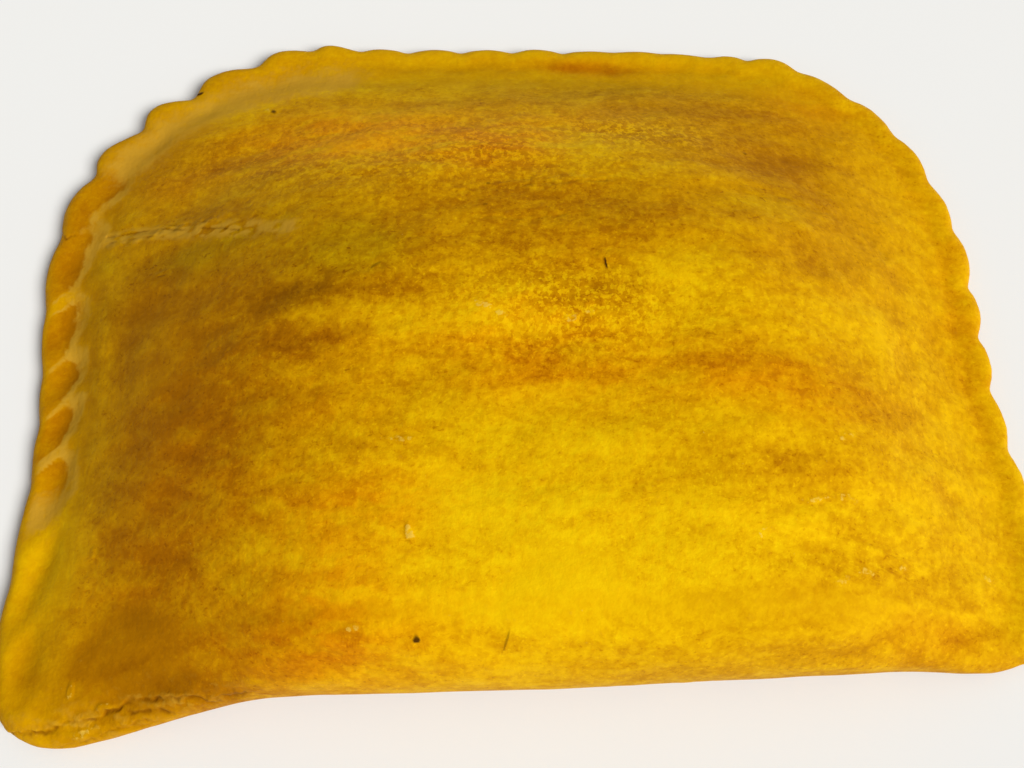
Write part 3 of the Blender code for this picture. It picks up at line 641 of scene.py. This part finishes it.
pastry = bpy.data.materials.new("baked_yellow_pastry")
pastry.use_nodes = True
tree = pastry.node_tree
shader = tree.nodes["Principled BSDF"]


def add_node(kind, inputs=(), **settings):
    """Adds a node to the pastry's material, with its settings and what goes into it."""
    made = tree.nodes.new("ShaderNode" + kind)
    for name, value in settings.items():
        setattr(made, name, value)
    for socket, value in dict(inputs).items():
        if isinstance(value, bpy.types.NodeSocket):
            tree.links.new(value, made.inputs[socket])
        else:
            made.inputs[socket].default_value = value
    return made


def calculate(operation, first, second=0.0, third=0.0, clamp=False):
    """Result of a sum, product or the like of two or three values."""
    return add_node("Math", {0: first, 1: second, 2: third}, operation=operation, use_clamp=clamp).outputs[0]


def crust_value(name):
    """A value kept at the crust's points."""
    return add_node("Attribute", attribute_name=name).outputs["Fac"]


def crust_noise(place, reach, seed, detail=2.0, roughness=0.5, output="Fac"):
    """Noise from 0 to 1 with its own reach in millimetres along, across and up."""
    turned = add_node("Mapping", {"Vector": place, "Location": (seed, -seed, seed),
                                  "Scale": [1.0 / (MM * r) for r in reach]})
    wave = {"Vector": turned.outputs[0], "Scale": 1.0, "Detail": detail, "Roughness": roughness}
    return add_node("TexNoise", wave).outputs[output]


def between(value, low, high, to_low=0.0, to_high=1.0):
    """A value's smooth step from one level to another."""
    limits = {"Value": value, "From Min": low, "From Max": high, "To Min": to_low, "To Max": to_high}
    return add_node("MapRange", limits, interpolation_type="SMOOTHSTEP").outputs["Result"]


def mixed(share, first, second, blend_type="MIX"):
    """Two colours mixed by a share."""
    both = add_node("Mix", {0: share, 6: first, 7: second}, data_type="RGBA", blend_type=blend_type)
    return both.outputs[2]


def colour_steps(value, steps):
    """Colours that change with a value."""
    ramp = add_node("ValToRGB", {"Fac": value})
    elements = ramp.color_ramp.elements
    while len(elements) < len(steps):
        elements.new(0.5)
    for element, (position, colour) in zip(elements, steps):
        element.position = position
        element.color = (*colour, 1.0)
    return ramp.outputs["Color"]


def swing(value):
    """How far a value is above its middle."""
    return calculate("SUBTRACT", value, 0.5)


def plus(total, value, strength):
    """A total with another value added, at a strength."""
    return calculate("MULTIPLY_ADD", value, strength, total)


crust_place = add_node("TexCoord").outputs["Object"]
pull = crust_noise(crust_place, *WARP, output="Color")
pull = add_node("VectorMath", {0: pull, 1: (0.5, 0.5, 0.5)}, operation="SUBTRACT").outputs[0]
far_pull = add_node("VectorMath", {0: pull, "Scale": WARP_PULL * MM}, operation="SCALE").outputs[0]
pulled_place = add_node("VectorMath", {0: crust_place, 1: far_pull}, operation="ADD").outputs[0]
near_pull = add_node("VectorMath", {0: pull, "Scale": GRAIN_PULL * MM}, operation="SCALE").outputs[0]
grain_place = add_node("VectorMath", {0: crust_place, 1: near_pull}, operation="ADD").outputs[0]

cloud = crust_noise(pulled_place, *CLOUDS)
streaks = crust_noise(pulled_place, *STREAKS)
mottle = crust_noise(grain_place, *MOTTLE)
grain = crust_noise(grain_place, *GRAIN)
upright = crust_noise(grain_place, *UPRIGHT_GRAIN)
speckle = crust_noise(grain_place, *SPECKLE)
dash_noise = crust_noise(pulled_place, *DASHES)
blob_noise = crust_noise(grain_place, *BLOBS)
fleck_noise = crust_noise(grain_place, *FLECKS)
lid_share = calculate("SUBTRACT", 1.0, crust_value("rim"))
blister_share = crust_value("blistered")
lively = crust_value("lively")

uneven = calculate("MULTIPLY", swing(cloud), CLOUD_STRENGTH)
uneven = plus(uneven, swing(streaks), between(blister_share, *WEAK_TO_STRONG, *STREAK_STRENGTH))
uneven = plus(uneven, between(streaks, *STREAK_EDGE), STREAK_EDGE_STRENGTH)
uneven = plus(uneven, swing(mottle), MOTTLE_STRENGTH)
uneven = plus(uneven, between(mottle, *MOTTLE_EDGE), MOTTLE_EDGE_STRENGTH)
uneven = plus(uneven, swing(grain), between(blister_share, *WEAK_TO_STRONG, *GRAIN_STRENGTH))
uneven = plus(uneven, swing(upright), UPRIGHT_STRENGTH)
uneven = plus(uneven, between(speckle, *DARK_SPECKLE), DARK_SPECKLE_STRENGTH)
uneven = plus(uneven, between(speckle, *PALE_SPECKLE), PALE_SPECKLE_STRENGTH)
uneven = calculate("SUBTRACT", uneven, UNEVEN_MEAN)
browned_and_shaded = plus(crust_value("browned_and_shaded"), uneven, lively)
# Painted shade, darker in the hollows of the relief
browned_and_shaded = plus(browned_and_shaded, swing(crust_value("recess_shade")), RECESS_SHADE_STRENGTH)
dashes = calculate("MULTIPLY", between(dash_noise, *DASH_EDGE), lid_share)
dashes = calculate("MULTIPLY", dashes, between(streaks, *DASH_STREAKS))
browned_and_shaded = plus(browned_and_shaded, dashes, between(crust_value("olive"), *WEAK_TO_STRONG, *DASH_STRENGTH))
blobs = calculate("MULTIPLY", between(blob_noise, *BLOB_EDGE), blister_share)
browned_and_shaded = plus(browned_and_shaded, blobs, BLOB_STRENGTH)
# Painted glints: tiny pale flecks, stronger where the mottling is lively
glint_strength = between(lively, *DULL_TO_LIVELY, *GLINT_FLECK_STRENGTH)
browned_and_shaded = plus(browned_and_shaded, between(fleck_noise, *GLINT_FLECK_EDGE), glint_strength)
dark_flecks = calculate("MULTIPLY", between(fleck_noise, *DARK_FLECK, 1.0, 0.0), lid_share)
browned_and_shaded = plus(browned_and_shaded, dark_flecks, DARK_FLECK_STRENGTH)

colour = colour_steps(browned_and_shaded, BAKE_COLOURS)
olive = calculate("MULTIPLY", crust_value("olive"), between(cloud, *TINT_EDGE), clamp=True)
colour = mixed(olive, colour, mixed(1.0, colour, OLIVE_TINT, "MULTIPLY"))
orange = calculate("MULTIPLY", crust_value("orange"), between(streaks, *TINT_EDGE, 0.4, 1.0), clamp=True)
colour = mixed(orange, colour, mixed(1.0, colour, ORANGE_TINT, "MULTIPLY"))
dry_edge = plus(crust_value("dry"), swing(speckle), DRY_SPECKLE)
dry_edge = plus(dry_edge, swing(grain), DRY_GRAIN)
dry_share = between(dry_edge, *DRY_EDGE)
colour = mixed(calculate("MULTIPLY", dry_share, DRY_SHARE), colour, DRY_COLOUR)
# Flour on the chips, and the painted highlights of the four pale spots at the middle
floury_and_highlit = between(plus(crust_value("floury_and_highlit"), swing(grain), FLOUR_AND_HIGHLIGHT_GRAIN), *FLOUR_AND_HIGHLIGHT_EDGE)
colour = mixed(calculate("MULTIPLY", floury_and_highlit, FLOUR_AND_HIGHLIGHT_SHARE), colour, FLOUR_AND_HIGHLIGHT_COLOUR)
# Painted shade inside the cracks, frayed along the dashes
crack_shade_share = calculate("MULTIPLY", crust_value("cracked"), between(dash_noise, *CRACK_EDGE, 0.5, 1.0))
colour = mixed(calculate("MULTIPLY", crack_shade_share, CRACK_SHADE_SHARE), colour, CRACK_SHADE_COLOUR)
colour = mixed(calculate("MULTIPLY", crust_value("charred"), CHAR_SHARE), colour, CHAR_COLOUR)
underside = colour_steps(crust_noise(crust_place, *TRAY_MOTTLE), UNDERSIDE_COLOURS)
colour = mixed(crust_value("under"), colour, underside)
tree.links.new(colour, shader.inputs["Base Color"])

roughness = plus(CRUST_ROUGHNESS, swing(mottle), MOTTLE_ROUGHNESS)
roughness = plus(roughness, dry_share, DRY_ROUGHNESS)
tree.links.new(plus(roughness, grain, GRAIN_ROUGHNESS), shader.inputs["Roughness"])
shader.inputs["Specular IOR Level"].default_value = CRUST_SPECULAR
shader.inputs["Specular Tint"].default_value = CRUST_SHEEN_TINT

relief = calculate("MULTIPLY", grain, GRAIN_RELIEF)
relief = plus(relief, speckle, SPECKLE_RELIEF)
relief = plus(relief, upright, UPRIGHT_RELIEF)
relief = plus(relief, crust_noise(pulled_place, *RIDGES), calculate("MULTIPLY", lid_share, RIDGE_RELIEF))
relief = plus(relief, dashes, DASH_RELIEF)
bump = add_node("Bump", {"Height": relief, "Distance": BUMP_DEPTH, "Strength": BUMP_STRENGTH})
tree.links.new(bump.outputs["Normal"], shader.inputs["Normal"])
mesh.materials.append(pastry)

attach(crust, "root")
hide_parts("patty")

# The table: a plain pale matt top, wide enough to fill the view.
TABLE_WIDTH = 3.0
TABLE_COLOUR = (0.88, 0.88, 0.87, 1.0)
TABLE_ROUGHNESS = 0.8
TABLE_SPECULAR = 0.1

bpy.ops.object.select_all(action="DESELECT")
bpy.ops.mesh.primitive_plane_add(size=TABLE_WIDTH)
table = bpy.context.object
table.name = "table"
table_paint = bpy.data.materials.new("pale_table")
table_paint.use_nodes = True
table_shader = table_paint.node_tree.nodes["Principled BSDF"]
table_shader.inputs["Base Color"].default_value = TABLE_COLOUR
table_shader.inputs["Roughness"].default_value = TABLE_ROUGHNESS
table_shader.inputs["Specular IOR Level"].default_value = TABLE_SPECULAR
table.data.materials.append(table_paint)

# The camera: close above the near edge, looking steeply down, as the photograph was taken.
CAMERA_ELEVATION = math.radians(70.0)
CAMERA_DISTANCE = 0.170
CAMERA_TARGET = Vector((-1.610, -3.953, 0.0)) * MM
LENS_WIDTH = 36.0
LENS_LENGTH = 37.65
NEAREST_SEEN = 0.01

lens = bpy.data.cameras.new("camera")
lens.sensor_width = LENS_WIDTH
lens.lens = LENS_LENGTH
lens.clip_start = NEAREST_SEEN
camera = bpy.data.objects.new("camera", lens)
bpy.context.scene.collection.objects.link(camera)
back = Vector((0.0, -math.cos(CAMERA_ELEVATION), math.sin(CAMERA_ELEVATION)))
camera.location = CAMERA_TARGET + CAMERA_DISTANCE * back
camera.rotation_euler = (math.radians(90.0) - CAMERA_ELEVATION, 0.0, 0.0)
bpy.context.scene.camera = camera

# The light: the soft light of a wide window to the front right, and the room's own.
WINDOW_WAY = Vector((0.54, -0.36, 0.62))
WINDOW_WIDTH = math.radians(28.0)
WINDOW_STRENGTH = 3.25
WINDOW_COLOUR = (1.0, 0.99, 0.96)
ROOM_STRENGTH = 0.28

window = bpy.data.lights.new("window_light", "SUN")
window.energy = WINDOW_STRENGTH
window.angle = WINDOW_WIDTH
window.color = WINDOW_COLOUR
lamp = bpy.data.objects.new("window_light", window)
lamp.location = 0.5 * WINDOW_WAY
lamp.rotation_euler = (-WINDOW_WAY).to_track_quat("-Z", "Y").to_euler()
bpy.context.scene.collection.objects.link(lamp)
room = bpy.data.worlds.new("room")
room.use_nodes = True
room_light = room.node_tree.nodes["Background"]
room_light.inputs["Color"].default_value = (1.0, 1.0, 1.0, 1.0)
room_light.inputs["Strength"].default_value = ROOM_STRENGTH
bpy.context.scene.world = room
bpy.context.scene.view_settings.view_transform = "Standard"
